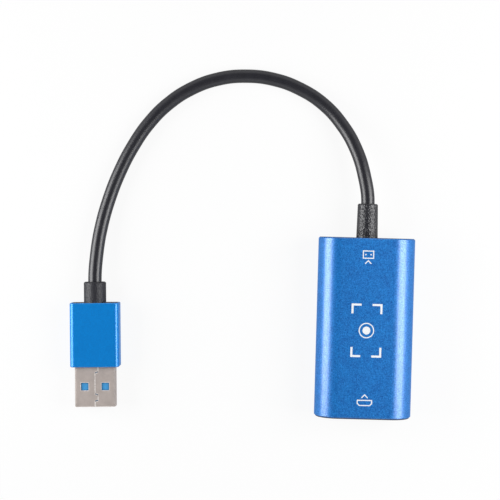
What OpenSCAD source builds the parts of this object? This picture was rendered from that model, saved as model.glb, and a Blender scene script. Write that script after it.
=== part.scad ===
// Video capture box: an extruded metal case with a video socket at one end and a short
// captive cable at the other, which ends in a flat data plug. Millimetres, +Z up.
// The case lies along Y with its socket facing -Y. The origin is on the surface that
// the case rests on, under the middle of the case.

/* [Case] */
// Width of the case over its rounded sides
case_w = 28.5; // [27.5:0.5:34]
// Height of the case, which is also the diameter of its rounded sides
case_h = 13; // [12.5:0.25:15]
// Length of the case over both end caps
case_l = 53; // [51:0.5:64]
// Wall of the extruded case
case_wall = 1.2; // [1:0.1:1.4]
// Chamfer round both ends of the extruded case
case_chamfer = 0.3; // [0.1:0.05:0.5]
// How far the board guides reach over the edges of the circuit board
guide_reach = 0.8; // [0.5:0.1:1.2]
// Thickness of each board guide
guide_t = 0.8; // [0.5:0.1:1]

/* [End caps] */
// Part of the input cap that stands proud of the case
cap_lip = 0.25; // [0.2:0.05:1]
// Part of the output cap that stands proud of the case
output_lip = 0.1; // [0.1:0.05:0.5]
// Step from the case's outline in to the edge of a cap's lip
cap_inset = 0.35; // [0.2:0.05:0.8]
// Share of a lip's thickness that the chamfer on its outer edge takes
cap_chamfer = 0.6; // [0.2:0.1:0.8]
// Solid depth of each cap inside the case
cap_plug = 1.6; // [1.2:0.1:2]
// Depth of the arched skirt behind each cap
skirt_l = 3; // [1.5:0.5:5]
// Thickness of that skirt
skirt_t = 1; // [0.8:0.1:1.2]
// Length of the stops that hold the circuit board off the output cap
stop_l = 2.2; // [1.8:0.1:3]
// Width of each of those stops
stop_w = 2; // [1.5:0.1:2.5]
// Gap between each of those stops and the board guides
stop_gap = 0.5; // [0.3:0.1:1]
// Clearance round the parts that slide into the case or the sleeve
slide_fit = 0.08; // [0.05:0.01:0.15]

/* [Circuit board] */
// Thickness of the circuit board
board_t = 1; // [0.8:0.1:1.2]
// Clearance between the board's edges and the case's bore
board_gap = 0.25; // [0.15:0.05:0.4]
// Clearance above and below the board in its guides
guide_fit = 0.1; // [0.05:0.05:0.2]

/* [Video socket] */
// Width of the socket's opening
socket_open_w = 14; // [13.5:0.1:14.5]
// Height of the socket's opening
socket_open_h = 4.55; // [4.4:0.05:4.8]
// Width of the opening at its narrow lower edge
socket_low_w = 11.2; // [10.6:0.1:11.8]
// Height of the slanted lower corners
socket_step_h = 1.5; // [1.2:0.1:1.8]
// Inner radius of the shell's bends
socket_bend_r = 0.4; // [0.3:0.05:0.6]
// Sheet that the shell is stamped from
socket_sheet = 0.3; // [0.25:0.05:0.35]
// Length of the shell
socket_l = 11.4; // [10.5:0.1:12.5]
// How far the shell's mouth sits behind the face of the cap
socket_recess = 0.2; // [0:0.05:0.4]
// Clearance round the shell in the cap's window
window_gap = 0.15; // [0.1:0.05:0.3]
// Width of each spring finger
finger_w = 2.2; // [1.8:0.1:2.6]
// Length of each spring finger
finger_l = 4.6; // [4:0.1:5.2]
// Slope of the spring fingers into the opening, in degrees
finger_slope = 4.5; // [3:0.5:5]
// Width of the slit round each finger
finger_slit = 0.3; // [0.2:0.05:0.4]
// Distance from the mouth back to the fingers' roots
finger_back = 2.2; // [1.8:0.1:2.8]
// Distance of the upper fingers from the middle
finger_high_x = 3.6; // [3:0.1:4]
// Distance of the lower fingers from the middle
finger_low_x = 2.8; // [2.4:0.1:3.2]
// Distance from the mouth back to the front legs
leg_front = 4; // [3.4:0.1:4.6]
// Distance from the rear of the shell to the rear legs
leg_rear = 2; // [1.4:0.1:2.8]
// Width of each leg through the board
leg_w = 1.6; // [1.2:0.1:2]
// Length of a leg below the board
leg_tip = 0.7; // [0.4:0.1:0.9]
// Clearance round each leg in its slot
leg_gap = 0.25; // [0.15:0.05:0.35]
// Width of the tongue that carries the contacts
tongue_w = 10.6; // [10.3:0.1:11]
// Thickness of that tongue
tongue_t = 1.3; // [1.1:0.1:1.4]
// Distance from the mouth back to the tongue's tip
tongue_back = 1.2; // [1:0.1:2]
// Depth of the moulded block at the rear of the socket
block_l = 3.6; // [3:0.1:4.2]
// Distance between neighbouring contacts in one row
contact_pitch = 1; // [0.98:0.01:1.02]
// Distance from the tongue's tip back to the contacts
contact_back = 0.4; // [0.4:0.1:0.8]
// Gap between the moulded block and the contacts' bends
contact_gap = 0.3; // [0.1:0.05:0.5]
// Width of each contact
contact_w = 0.4; // [0.3:0.05:0.45]
// Thickness of each contact
contact_t = 0.12; // [0.1:0.01:0.15]
// Length of each contact's foot on the board
contact_foot = 1; // [0.8:0.1:1.2]

/* [Board components] */
// Gap between neighbouring rows of components
row_gap = 0.9; // [0.7:0.1:1.2]
// Side of the capture chip
chip_w = 9; // [8:0.5:9.5]
// Height of the capture chip
chip_t = 0.9; // [0.7:0.1:1.2]
// Solder pads along each side of the capture chip
chip_pads = 14; // [8:1:16]
// Solder pad of the capture chip: width, reach past the body and height
pad_size = [0.25, 0.05, 0.15]; // [0.05:0.05:0.3]
// Distance between the legs of the memory chip
flash_pitch = 1.27; // [1:0.01:1.3]
// Body of the memory chip: length, width and height
flash_size = [4.9, 3.9, 1.5]; // [1:0.1:6]
// Package of the crystal: length, width and height
crystal_size = [3.2, 2.5, 0.8]; // [0.5:0.1:5]
// Body of the regulator: length, width and height
regulator_size = [6.5, 3.5, 1.6]; // [1:0.1:7]
// Distance between the legs of the regulator
regulator_pitch = 2.3; // [1.8:0.1:2.5]
// Width of the regulator's tab
regulator_tab = 3; // [2:0.1:4]
// Body of the choke: length, width and height
choke_size = [4, 4, 2]; // [1:0.1:5]
// Capacitor: length, width and height
cap_size = [1.6, 0.8, 0.8]; // [0.4:0.1:2]
// Resistor: length, width and height
resistor_size = [1, 0.5, 0.35]; // [0.3:0.05:1.6]
// Surge array: length, width and height
surge_size = [2.5, 1, 0.5]; // [0.4:0.1:2.6]

/* [Cable] */
// Outer diameter of the cable
cable_d = 4; // [3.5:0.1:4.2]
// Length of the strain relief outside the case
boot_l = 10; // [8:0.5:12]
// Diameter of the strain relief at the case
boot_base_d = 6.35; // [5.9:0.05:6.6]
// Diameter of the strain relief at its tip
boot_tip_d = 5.95; // [5.4:0.05:6.2]
// Diameter of the strain relief's neck in the cap
boot_neck_d = 5.6; // [5.3:0.05:5.8]
// Thickness of the strain relief's flange behind the cap
boot_flange_t = 1.4; // [1:0.1:1.7]
// Cable that stands out past that flange inside the case
jacket_stub = 1.2; // [0.8:0.1:2]
// Clearance between that flange and the cap's skirt
flange_gap = 0.3; // [0.2:0.05:0.5]
// Chamfer at the tip of each strain relief
boot_edge = 0.3; // [0.15:0.05:0.4]
// Diameter of each lead inside the cable
lead_d = 0.64; // [0.55:0.01:0.66]
// Gap between neighbouring leads in the cut end of the cable
lead_gap = 0.08; // [0.06:0.01:0.1]
// Length of case that the leads fan out over
lead_l = 6; // [5:0.5:7]
// Straight end of each lead on the board
lead_foot = 1.6; // [1.2:0.1:2]
// Distance between the leads' joints on the board
joint_pitch = 1.75; // [1.6:0.05:1.9]
// Diameter of each solder joint
joint_d = 1.3; // [1:0.1:1.5]
// Clearance between the cable and the parts it runs through
cable_fit = 0.03; // [0.02:0.01:0.06]

/* [Plug] */
// Width of the plug's sleeve
sleeve_w = 14.6; // [14.2:0.1:15.6]
// Height of the plug's sleeve
sleeve_h = 7.2; // [6.8:0.1:8]
// Length of the plug's sleeve
sleeve_l = 19; // [18:0.5:24]
// Radius of the sleeve's long edges
sleeve_r = 1.4; // [1.2:0.1:2.4]
// Wall of the sleeve
sleeve_wall = 0.7; // [0.5:0.05:0.8]
// Chamfer round both ends of the sleeve
sleeve_chamfer = 0.2; // [0.1:0.05:0.3]
// Length of the plug's strain relief behind the sleeve
plug_boot_l = 6.2; // [5:0.1:8]
// Diameter of that strain relief
plug_boot_d = 6.6; // [6:0.1:6.7]
// Depth of the front moulding below the sleeve's front edge
core_recess = 0.25; // [0.1:0.05:0.5]
// Distance from the sleeve's front edge to the rear moulding
core_l = 12.4; // [11.5:0.1:13.5]
// Cable that stands forward of the rear moulding
plug_stub = 0.6; // [0.3:0.1:1]
// Length of the metal shell outside the sleeve
tip_l = 11.9; // [11:0.05:12.5]
// Width of the metal shell
tip_w = 12; // [11.8:0.05:12.2]
// Height of the metal shell
tip_h = 4.5; // [4.4:0.05:4.6]
// Sheet that the metal shell is stamped from
tip_sheet = 0.3; // [0.25:0.05:0.35]
// Outer radius of the metal shell's bends
tip_bend_r = 0.5; // [0.5:0.05:0.9]
// Length of the metal shell inside the front moulding
tip_root_l = 6.6; // [5.5:0.1:7]
// Side of each square window
hole_w = 2.3; // [2:0.05:2.5]
// Distance between the two windows of a row
hole_pitch = 6.1; // [5.8:0.05:6.4]
// Distance from the tip to the near edge of the windows
hole_back = 4.9; // [4.5:0.05:5.4]
// Width of the seam along the metal shell
seam_w = 0.04; // [0.03:0.01:0.2]
// Width of the gaps where the seam steps sideways
seam_gap = 0.3; // [0.2:0.05:0.4]
// Sideways step of the seam
seam_step = 0.9; // [0.6:0.05:1.2]
// Length over which the seam takes each step
seam_slant = 0.3; // [0.2:0.05:0.5]
// Distance from the tip back to the seam's first step
seam_out = 1.7; // [1.4:0.1:2]
// Distance from the tip back to the step that brings the seam to the middle again
seam_in = 3.6; // [3.2:0.1:4.2]
// Distance from the tip back to the seam's last step
seam_last = 10.1; // [9.5:0.1:10.6]
// Depth of the plug's cavity behind its tip
cavity_l = 9.6; // [9:0.1:10]
// Depth of the insulator's rear face below the metal shell's rear edge
insulator_inset = 0.4; // [0.2:0.1:0.6]
// Distance from the tip back to the insulator
insulator_back = 0.5; // [0.3:0.1:0.8]
// Distance from the tip back to the four flat contacts
flat_back = 1; // [0.9:0.1:1.4]
// Length of the flat contacts' open faces
flat_l = 5.2; // [4.6:0.1:5.4]
// Width of the flat contacts
flat_w = 1; // [0.8:0.1:1.2]
// Distance of the outer flat contacts from the middle
flat_outer_x = 3.5; // [3.4:0.05:3.6]
// Distance of the inner flat contacts from the middle
flat_inner_x = 1; // [0.95:0.05:1.05]
// Height of the flat contacts' hidden runs above their open faces
flat_lift = 0.8; // [0.6:0.05:1]
// Gap between the flat and the raised contacts
spring_gap = 0.4; // [0.3:0.05:0.6]
// Distance between neighbouring raised contacts
spring_pitch = 2; // [1.9:0.05:2.1]
// Width of the raised contacts
spring_w = 0.7; // [0.5:0.05:0.8]
// Height of the raised contacts
spring_rise = 0.65; // [0.4:0.05:0.8]
// Thickness of the plug's contacts
plug_contact_t = 0.12; // [0.1:0.01:0.15]
// Length of the contacts' solder tails behind the metal shell
tail_l = 1.8; // [1.4:0.1:2.2]

/* [Hidden] */
$fn = 96;

// Colours of the object
anodised_blue = "#2b78c8";
moulding_black = "#26262a";
sheath_black = "#38383d";
board_green = "#1f5b3a";
nickel = "#b0a8a3";
gold = "#c9a24a";
tin = "#b8babd";
insulator_blue = "#3d9ad6";
chip_black = "#1d1d20";
ceramic_tan = "#a98f6d";
copper = "#b87333";

// Small overlap that joins or cuts solids cleanly
bite = 0.2;
// Straight steps along each bend of a stamped outline
bend_steps = 6;
// Flat sides round the cable and its leads
tube_sides = 8;

// Case, seen from the end
mid_z = case_h / 2;
side_r = case_h / 2;
bore_r = side_r - case_wall;
flat_half = case_w / 2 - side_r;
tube_end = case_l / 2 - cap_lip;
output_end = case_l / 2 - output_lip;
cap_back = tube_end - cap_plug;

// Video socket, its mouth towards -Y
socket_h = socket_open_h + 2 * socket_sheet;
socket_front = -case_l / 2 + socket_recess;
socket_back = socket_front + socket_l;
block_front = socket_back - block_l;
finger_root = socket_front + finger_back;
leg_places = [socket_front + leg_front, socket_back - leg_rear];
tongue_tip = socket_front + tongue_back;
contact_start = tongue_tip + contact_back;
contact_drop = socket_back + contact_gap;
contact_count = 10;
moulding_fit = 0.05;

// Circuit board, which the socket stands on
board_top = mid_z - socket_h / 2;
board_low = board_top - board_t;
board_half = flat_half + sqrt(pow(bore_r, 2) - pow(mid_z - board_low, 2)) - board_gap;
board_front = -cap_back + slide_fit;
board_back = cap_back - stop_l;
guide_in = board_half - guide_reach;
skirt_low = board_top + guide_fit + guide_t + bite;
stop_x = guide_in - stop_gap - stop_w;

// Strain relief and cable in the output cap
cable_r = cable_d / 2;
boot_tip = case_l / 2 + boot_l;
flange_r = bore_r - slide_fit - skirt_t - flange_gap;
flange_in = cap_back - boot_flange_t;
jacket_end = flange_in - jacket_stub;
joint_y = jacket_end - lead_l;
lead_r = lead_d / 2;
lead_pitch = lead_d + lead_gap;
lead_count = 9;

// Component places on the board, as [x, y]
surge_y = contact_drop + contact_foot + row_gap + surge_size.y / 2;
resistor_y = surge_y + surge_size.y / 2 + row_gap + resistor_size.y / 2;
chip_at = [0, resistor_y + resistor_size.y / 2 + row_gap + chip_w / 2];
leg_out = 0.4;
leg_foot = 0.6;
supply_y = chip_at.y + chip_w / 2 + row_gap + leg_out + leg_foot + flash_size.y / 2;
choke_at = [0, supply_y];
flash_at = [-choke_size.x / 2 - row_gap - flash_size.x / 2, supply_y];
regulator_at = [choke_size.x / 2 + row_gap + regulator_size.x / 2, supply_y];
crystal_at = [guide_in - row_gap - crystal_size.x / 2, chip_at.y];
capacitor_y = supply_y + choke_size.y / 2 + leg_out + leg_foot + row_gap + cap_size.y / 2;
surge_count = 4;
resistor_count = 9;
capacitor_count = 5;

// Plug, its tip towards -Y of its own frame, with the sleeve's front edge at zero
sleeve_in_w = sleeve_w - 2 * sleeve_wall;
sleeve_in_h = sleeve_h - 2 * sleeve_wall;
sleeve_in_r = max(sleeve_r - sleeve_wall, 0.3);
plug_end = sleeve_l + plug_boot_l;
tip_in_w = tip_w - 2 * tip_sheet;
tip_in_h = tip_h - 2 * tip_sheet;
tip_in_r = max(tip_bend_r - tip_sheet, 0.1);
cavity_end = cavity_l - tip_l;
insulator_end = tip_root_l - insulator_inset;
tail_end = insulator_end + tail_l;
flat_end = -tip_l + flat_back + flat_l;
flat_places = [-flat_outer_x, -flat_inner_x, flat_inner_x, flat_outer_x];
spring_count = 5;
spring_start = flat_end + spring_gap;
pocket_w = tip_in_w;
pocket_h = max(tip_in_h, cable_d + 2 * slide_fit);

// Route of the cable's free stretch, from the case's strain relief to the plug's
plug_turn = 2;
plug_at = [-80.45, 11.2, sleeve_h / 2];
route = [
    [0, boot_tip, mid_z],
    [-1.3, 45, 6.2],
    [-3.9, 52.8, 5],
    [-7.9, 59.7, 3.5],
    [-13.6, 65.9, 2.4],
    [-20.6, 70.3, 2],
    [-28.5, 73, 2],
    [-37, 73.8, 2],
    [-45.4, 72.7, 2],
    [-53.3, 69.6, 2],
    [-60, 65, 2],
    [-65.6, 59.1, 2],
    [-70.2, 52.1, 2],
    [-74.1, 44.1, 2],
    [-77, 36, 2.1],
    [-79, 28, 2.6],
    [-80.1, 20, 3.3],
    plug_at
];

// Plain vector helpers
function unit(v) = v / norm(v);

// Arc that rounds the corner b of an outline between its neighbours a and c
function corner_arc(a, b, c, r) =
    let (
        u = unit(a - b),
        v = unit(c - b),
        half = acos(u * v) / 2,
        centre = b + unit(u + v) * r / sin(half),
        first = b + u * r / tan(half) - centre,
        start = atan2(first.y, first.x),
        turn = 180 - 2 * half
    )
    [for (k = [0 : bend_steps])
        centre + r * [cos(start + turn * k / bend_steps), sin(start + turn * k / bend_steps)]];

// Anticlockwise outline with every corner rounded
function rounded(loop, r) =
    let (n = len(loop))
    [for (i = [0 : n - 1])
        each corner_arc(loop[(i + n - 1) % n], loop[i], loop[(i + 1) % n], r)];

// Rectangle about the origin with rounded corners
function rounded_box(w, h, r) =
    rounded([[-w / 2, -h / 2], [w / 2, -h / 2], [w / 2, h / 2], [-w / 2, h / 2]], r);

// Outline of the socket's opening, grown outwards by g on every side
function socket_outline(g) =
    let (
        side = socket_open_w / 2,
        low = -socket_open_h / 2,
        in = side - socket_low_w / 2,
        up = socket_step_h,
        slant = norm([in, up]),
        low_x = side + g * up / slant - in * (1 + g * (1 - in / slant) / up),
        step_z = low + up - g * in / slant + up * g * (1 - up / slant) / in
    )
    rounded([
        [-low_x, low - g], [low_x, low - g], [side + g, step_z],
        [side + g, -low + g], [-side - g, -low + g], [-side - g, step_z]
    ], socket_bend_r + g);

// Long section of a bar from y0 to y1, with chamfers c0 and c1 at its ends
function bar_section(half, y0, y1, c0, c1) = concat(
    c0 > 0 ? [[y0, c0 - half], [y0 + c0, -half]] : [[y0, -half]],
    c1 > 0 ? [[y1 - c1, -half], [y1, c1 - half]] : [[y1, -half]],
    c1 > 0 ? [[y1, half - c1], [y1 - c1, half]] : [[y1, half]],
    c0 > 0 ? [[y0 + c0, half], [y0, half - c0]] : [[y0, half]]
);

// Half of that section, for a rod turned about its axis
function rod_section(r, y0, y1, c0, c1) = concat(
    [[0, y0]],
    c0 > 0 ? [[r - c0, y0], [r, y0 + c0]] : [[r, y0]],
    c1 > 0 ? [[r, y1 - c1], [r - c1, y1]] : [[r, y1]],
    [[0, y1]]
);

// Extrudes an outline drawn in X and Z from y0 to y1
module along_y(y0, y1) {
    translate([0, y1, 0]) rotate([90, 0, 0]) linear_extrude(height = y1 - y0) children();
}

// Extrudes a section drawn in Y and Z across a width centred on X
module across_x(w) {
    rotate([90, 0, 90]) linear_extrude(height = w, center = true) children();
}

// Turns a section drawn as [radius, y] about the Y axis
module turned(section) {
    rotate([-90, 0, 0]) rotate_extrude() polygon(section);
}

// Block between two corners
module block(low, high) {
    translate(low) cube(high - low);
}

// Block on the circuit board, centred at a place and lifted by a height
module on_board(place, size, lift = 0) {
    translate([place.x - size.x / 2, place.y - size.y / 2, board_top + lift]) cube(size);
}

// Round rod between two points
module rod(from, to, r) {
    run = to - from;
    translate(from)
        rotate([0, acos(run.z / norm(run)), atan2(run.y, run.x)])
            cylinder(h = norm(run), r = r);
}

// Tube swept along a path of level runs, with end faces square to the first and last headings
module swept_tube(path, first, last, r) {
    count = len(path);
    far = (count - 1) * tube_sides;
    headings = [for (i = [0 : count - 1])
        i == 0 ? first
        : i == count - 1 ? last
        : unit(unit(path[i + 1] - path[i]) + unit(path[i] - path[i - 1]))];
    points = [for (i = [0 : count - 1])
        let (
            side = unit(cross(headings[i], [0, 0, 1])),
            up = cross(side, headings[i])
        )
        for (k = [0 : tube_sides - 1])
            path[i] + r * (cos(360 * k / tube_sides) * side + sin(360 * k / tube_sides) * up)];
    walls = [for (i = [0 : count - 2], k = [0 : tube_sides - 1])
        let (
            a = i * tube_sides + k,
            b = i * tube_sides + (k + 1) % tube_sides
        )
        each [[a, b, b + tube_sides], [a, b + tube_sides, a + tube_sides]]];
    ends = [for (k = [1 : tube_sides - 2])
        each [[0, k + 1, k], [far, far + k, far + k + 1]]];
    polyhedron(points = points, faces = concat(walls, ends));
}

// Bar along Y with rounded long edges and chamfered ends
module soft_bar(w, h, r, y0, y1, c0, c1) {
    levels = h > 2 * r ? [-1, 1] : [0];
    across_x(w - 2 * r) polygon(bar_section(h / 2, y0, y1, c0, c1));
    if (h > 2 * r)
        rotate([0, 90, 0]) across_x(h - 2 * r) polygon(bar_section(w / 2, y0, y1, c0, c1));
    for (side = [-1, 1], level = levels)
        translate([side * (w / 2 - r), 0, level * (h / 2 - r)])
            turned(rod_section(r, y0, y1, c0, c1));
}

// Slot with round ends, drawn about the origin
module stadium(half, r) {
    square([2 * half, 2 * r], center = true);
    for (side = [-1, 1])
        translate([side * half, 0]) circle(r);
}

// Board guides as they cross the bore, grown by g
module guide_outline(g) {
    low = board_low - guide_fit - guide_t - mid_z;
    high = board_top + guide_fit - mid_z;
    for (side = [-1, 1], level = [low, high])
        translate([side * (guide_in + side_r / 2 - g), level + guide_t / 2])
            square([side_r, guide_t + 2 * g], center = true);
}

// Inside of the case, drawn in by a clearance for what slides into it
module bore_outline(fit) {
    difference() {
        stadium(flat_half, bore_r - fit);
        guide_outline(fit);
    }
}

// Extruded case with its bore and board guides
module housing_tube() {
    color(anodised_blue)
        translate([0, 0, mid_z])
            difference() {
                soft_bar(case_w, case_h, side_r, -tube_end, output_end, case_chamfer, case_chamfer);
                along_y(-tube_end - bite, output_end + bite) bore_outline(0);
            }
}

// Plain end cap at the +Y end, where the case ends at y = end: lip, plug in the bore and arched skirt
module cap_blank(end) {
    lip_w = case_w - 2 * cap_inset;
    lip_h = case_h - 2 * cap_inset;
    skirt_r = bore_r - slide_fit;
    translate([0, 0, mid_z]) {
        soft_bar(lip_w, lip_h, lip_h / 2, end, case_l / 2, 0, cap_chamfer * (case_l / 2 - end));
        along_y(cap_back, end) bore_outline(slide_fit);
        along_y(cap_back - skirt_l, cap_back)
            difference() {
                stadium(flat_half, skirt_r);
                stadium(flat_half, skirt_r - skirt_t);
                translate([0, skirt_low - mid_z - case_h])
                    square([case_w, 2 * case_h], center = true);
            }
    }
}

// End cap with the window for the video socket
module input_cap() {
    color(moulding_black)
        difference() {
            mirror([0, 1, 0]) cap_blank(tube_end);
            translate([0, 0, mid_z])
                along_y(-case_l / 2 - bite, bite - cap_back)
                    polygon(socket_outline(socket_sheet + window_gap));
        }
}

// End cap with the hole for the strain relief and the stops behind the board
module output_cap() {
    color(moulding_black)
        difference() {
            union() {
                cap_blank(output_end);
                for (side = [-1, 1])
                    translate([side * (stop_x + stop_w / 2), 0, 0])
                        across_x(stop_w)
                            polygon([
                                [board_back, board_low - guide_fit],
                                [cap_back + bite, board_low - guide_fit],
                                [cap_back + bite, board_top + guide_t],
                                [board_back, board_top + guide_t]
                            ]);
            }
            translate([0, 0, mid_z])
                rotate([-90, 0, 0])
                    cylinder(h = case_l, r = boot_neck_d / 2 + cable_fit);
        }
}

// Places of the socket's legs, handed to the children with the side they are on
module at_legs() {
    for (side = [-1, 1], y = leg_places)
        translate([side * (socket_open_w + socket_sheet) / 2, y, 0]) children();
}

// Circuit board with slots for the socket's legs
module circuit_board() {
    color(board_green)
        difference() {
            block([-board_half, board_front, board_low], [board_half, board_back, board_top]);
            at_legs()
                translate([0, 0, board_low + board_t / 2])
                    cube([socket_sheet + 2 * leg_gap, leg_w + 2 * leg_gap, 2 * board_t], center = true);
        }
}

// Sideways places of the spring fingers in the upper (1) or lower (-1) wall
function finger_places(level) =
    let (x = level > 0 ? finger_high_x : finger_low_x) [-x, x];

// Stamped shell of the video socket, with its spring fingers and legs
module socket_shell() {
    wall = socket_open_h / 2;
    leg_top = mid_z + wall / 2;
    color(nickel) {
        difference() {
            translate([0, 0, mid_z])
                along_y(socket_front, socket_back)
                    difference() {
                        polygon(socket_outline(socket_sheet));
                        polygon(socket_outline(0));
                    }
            for (level = [-1, 1], x = finger_places(level))
                translate([
                    x, finger_root + (finger_l + finger_slit) / 2, mid_z + level * (wall + socket_sheet / 2)
                ])
                    cube([
                        finger_w + 2 * finger_slit, finger_l + finger_slit, 4 * socket_sheet
                    ], center = true);
        }
        for (level = [-1, 1], x = finger_places(level))
            translate([x, finger_root - bite, mid_z + level * (wall + socket_sheet / 2)])
                rotate([-level * finger_slope, 0, 0])
                    translate([-finger_w / 2, 0, -socket_sheet / 3])
                        cube([finger_w, finger_l + bite, socket_sheet * 2 / 3]);
        at_legs()
            translate([-socket_sheet / 2, -leg_w / 2, board_low - leg_tip])
                cube([socket_sheet, leg_w, leg_top - board_low + leg_tip]);
    }
}

// Sideways places and levels of the socket's contacts, as [x, z] of their lower face
function contact_row(level) =
    let (n = level > 0 ? contact_count : contact_count - 1)
    [for (i = [0 : n - 1]) [
        (i - (n - 1) / 2) * contact_pitch,
        mid_z + (level > 0 ? tongue_t / 2 : -tongue_t / 2 - contact_t)
    ]];

// Straight run of one contact along the tongue and through the block
module contact_run(place) {
    block(
        [place.x - contact_w / 2, contact_start, place.y],
        [place.x + contact_w / 2, contact_drop + contact_t, place.y + contact_t]
    );
}

// Moulded block and tongue of the video socket
module socket_insulator() {
    lead_in = tongue_t / 4;
    color(chip_black)
        difference() {
            translate([0, 0, mid_z]) {
                along_y(block_front, socket_back) polygon(socket_outline(-moulding_fit));
                across_x(tongue_w)
                    polygon([
                        [block_front + bite, -tongue_t / 2], [block_front + bite, tongue_t / 2],
                        [tongue_tip + lead_in, tongue_t / 2], [tongue_tip, tongue_t / 2 - lead_in],
                        [tongue_tip, lead_in - tongue_t / 2], [tongue_tip + lead_in, -tongue_t / 2]
                    ]);
            }
            for (level = [-1, 1], place = contact_row(level))
                contact_run(place);
        }
}

// Contacts of the video socket, in two staggered rows
module socket_contacts() {
    color(gold)
        for (level = [-1, 1], place = contact_row(level))
            union() {
                contact_run(place);
                block(
                    [place.x - contact_w / 2, contact_drop, board_top],
                    [place.x + contact_w / 2, contact_drop + contact_t, place.y + contact_t]
                );
                block(
                    [place.x - contact_w / 2, contact_drop, board_top],
                    [place.x + contact_w / 2, contact_drop + contact_foot, board_top + contact_t]
                );
            }
}

// Capture chip with solder pads round its edges and a dimple at its first pad
module capture_chip() {
    dimple = [1, 0.6, 0.1];
    corner = chip_at - [chip_w / 2 - dimple.x, chip_w / 2 - dimple.x];
    pitch = (chip_w - 2 * dimple.y) / (chip_pads - 1);
    reach = chip_w + 2 * pad_size.y;
    color(chip_black)
        difference() {
            union() {
                on_board(chip_at, [chip_w, chip_w, chip_t]);
                for (i = [0 : chip_pads - 1]) {
                    step = (i - (chip_pads - 1) / 2) * pitch;
                    on_board(chip_at + [step, 0], [pad_size.x, reach, pad_size.z]);
                    on_board(chip_at + [0, step], [reach, pad_size.x, pad_size.z]);
                }
            }
            translate([corner.x, corner.y, board_top + chip_t - dimple.z])
                cylinder(h = chip_t, d = dimple.y);
        }
}

// Bent legs along both long sides of a moulded chip, each as wide as leg and half as thick
module bent_legs(place, size, count, pitch, leg) {
    wall = size.y / 2;
    high = size.z / 2;
    t = leg / 2;
    for (side = [-1, 1], i = [0 : count - 1])
        translate([place.x + (i - (count - 1) / 2) * pitch, place.y, board_top])
            across_x(leg)
                scale([side, 1, 1])
                    polygon([
                        [wall - bite, high], [wall + leg_out, high], [wall + leg_out, t],
                        [wall + leg_out + leg_foot, t], [wall + leg_out + leg_foot, 0],
                        [wall + leg_out - t, 0], [wall + leg_out - t, high - t], [wall - bite, high - t]
                    ]);
}

// Memory chip with eight bent legs
module flash_chip() {
    stand = 0.1;
    leg = 0.4;
    color(chip_black) {
        on_board(flash_at, flash_size - [0, 0, stand], stand);
        bent_legs(flash_at, flash_size, 4, flash_pitch, leg);
    }
}

// Crystal: a ceramic tray with a metal lid
module crystal() {
    lid_t = crystal_size.z / 3;
    rim = 0.3;
    color(tin) {
        on_board(crystal_at, crystal_size - [0, 0, lid_t]);
        on_board(crystal_at, crystal_size - [rim, rim, 0]);
    }
}

// Voltage regulator with three legs in front and a broad tab behind
module regulator() {
    stand = 0.1;
    leg = [0.7, leg_out + leg_foot + bite, 0.25];
    tab = [regulator_tab, leg.y, leg.z];
    reach = [0, regulator_size.y / 2 + leg.y / 2 - bite];
    color(chip_black) {
        on_board(regulator_at, regulator_size - [0, 0, stand], stand);
        for (i = [-1 : 1])
            on_board(regulator_at - reach + [i * regulator_pitch, 0], leg);
        on_board(regulator_at + reach, tab);
    }
}

// Supply choke: a square base with a round core
module inductor() {
    base_t = choke_size.z / 3;
    rim = 0.2;
    color(chip_black) {
        on_board(choke_at, [choke_size.x, choke_size.y, base_t]);
        translate([choke_at.x, choke_at.y, board_top])
            cylinder(h = choke_size.z, d = choke_size.x - 2 * rim);
    }
}

// Small component lying along X, with an end cap at each end of its body
module chip_component(place, size) {
    end_l = size.x / 5;
    skin = size.z / 16;
    on_board(place, size - [end_l, 2 * skin, skin]);
    for (side = [-1, 1])
        on_board(place + [side * (size.x - end_l) / 2, 0], [end_l, size.y, size.z]);
}

// Capacitors on both sides of the capture chip, clear of the crystal, and in a row past the choke
module capacitors() {
    side = [chip_w / 2 + row_gap + cap_size.x / 2, 0];
    color(ceramic_tan)
        for (i = [0 : capacitor_count - 1]) {
            step = i - (capacitor_count - 1) / 2;
            along = [0, step * (cap_size.y + row_gap)];
            chip_component(chip_at - side + along, cap_size);
            if (abs(along.y) > crystal_size.y / 2 + cap_size.y / 2)
                chip_component(chip_at + side + along, cap_size);
            chip_component([step * (cap_size.x + 2 * row_gap), capacitor_y], cap_size);
        }
}

// Row of series resistors between the surge arrays and the capture chip
module resistors() {
    pitch = resistor_size.x + row_gap / 2;
    color(chip_black)
        for (i = [0 : resistor_count - 1])
            chip_component([(i - (resistor_count - 1) / 2) * pitch, resistor_y], resistor_size);
}

// Surge arrays behind the video socket
module surge_arrays() {
    pitch = surge_size.x + row_gap / 2;
    color(chip_black)
        for (i = [0 : surge_count - 1])
            on_board([(i - (surge_count - 1) / 2) * pitch, surge_y], surge_size);
}

// Strain relief of the case, with its neck in the cap and its flange behind it
module cable_boot() {
    bore = cable_r + cable_fit;
    color(sheath_black)
        translate([0, 0, mid_z])
            turned([
                [bore, flange_in], [flange_r, flange_in], [flange_r, cap_back],
                [boot_neck_d / 2, cap_back], [boot_neck_d / 2, case_l / 2],
                [boot_base_d / 2, case_l / 2], [boot_tip_d / 2, boot_tip - boot_edge],
                [boot_tip_d / 2 - boot_edge, boot_tip], [bore, boot_tip]
            ]);
}

// Cable inside that strain relief
module cable_tail() {
    color(sheath_black)
        translate([0, 0, mid_z]) turned(rod_section(cable_r, jacket_end, boot_tip, 0, 0));
}

// Place of lead i in the cut end of the cable, as [x, z]: odd ones in the upper row
function lead_start(i) =
    [(i - (lead_count - 1) / 2) * lead_pitch / 2, (i % 2 - 1 / 2) * lead_pitch];

// Sideways place of joint i on the board
function joint_x(i) = (i - (lead_count - 1) / 2) * joint_pitch;

// One lead: from its start, down to its bend, then on to its end
module lead_wire(start, bend, end) {
    swept_tube([start, bend, end], [0, -1, 0], unit(end - bend), lead_r);
}

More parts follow.
